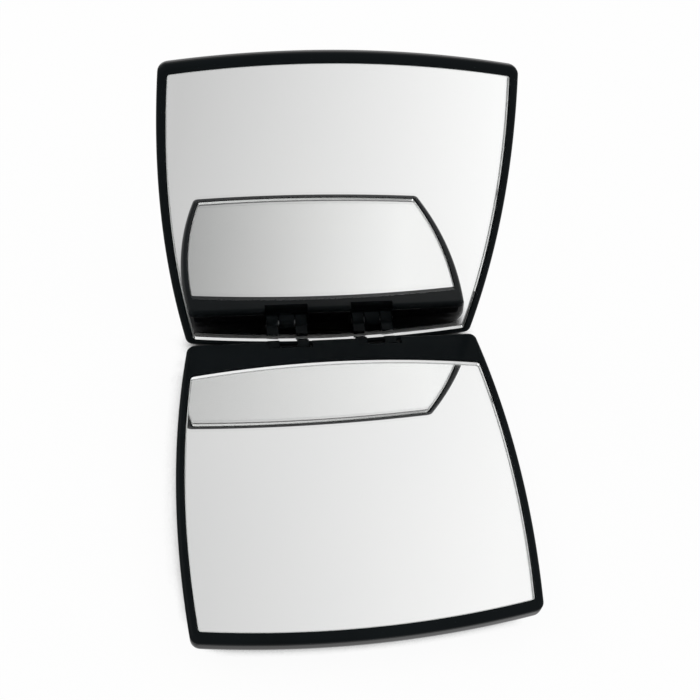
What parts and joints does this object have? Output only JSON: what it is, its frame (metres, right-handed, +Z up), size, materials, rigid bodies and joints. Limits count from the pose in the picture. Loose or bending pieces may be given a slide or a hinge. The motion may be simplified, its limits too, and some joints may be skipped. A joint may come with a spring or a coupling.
{
  "type": "compact mirror",
  "caption": "Pocket compact mirror: square pillow-shaped gloss case with bowed sides, mirrors inside base and lid, hinged along the rear edge and held shut by magnets.",
  "frame": {"origin": "middle of the base's flat underside, on the surface that the case stands on", "axes": "+X to the user's right, +Y from the front edge to the hinge, +Z up; the lid is open at rest as in the picture"},
  "size_m": [0.068, 0.0884, 0.0673],
  "materials": {
    "shell": "black, moulded with a polished tool",
    "frame": "black, moulded with a polished tool",
    "mirror": "back-silvered float glass with a ground edge",
    "tape": "white double-sided foam tape",
    "magnet": "nickel plated",
    "pin": "drawn steel wire"
  },
  "bodies": {
    "base": {"base_shell": "shell", "base_frame": "frame", "base_mirror": "mirror", "base_mirror_tape": "tape", "base_magnet_left": "magnet", "base_magnet_right": "magnet"},
    "lid": {"lid_shell": "shell", "lid_frame": "frame", "lid_mirror": "mirror", "lid_mirror_tape": "tape", "lid_magnet_left": "magnet", "lid_magnet_right": "magnet", "hinge_pin_left": "pin", "hinge_pin_right": "pin"}
  },
  "joints": [
    {"name": "lid_hinge", "type": "hinge", "parent": "base", "child": "lid", "pos_m": [0, 0.03245, 0.0036], "axis": [-1, 0, 0], "range_deg": [-101.4, 2.6]}
  ]
}
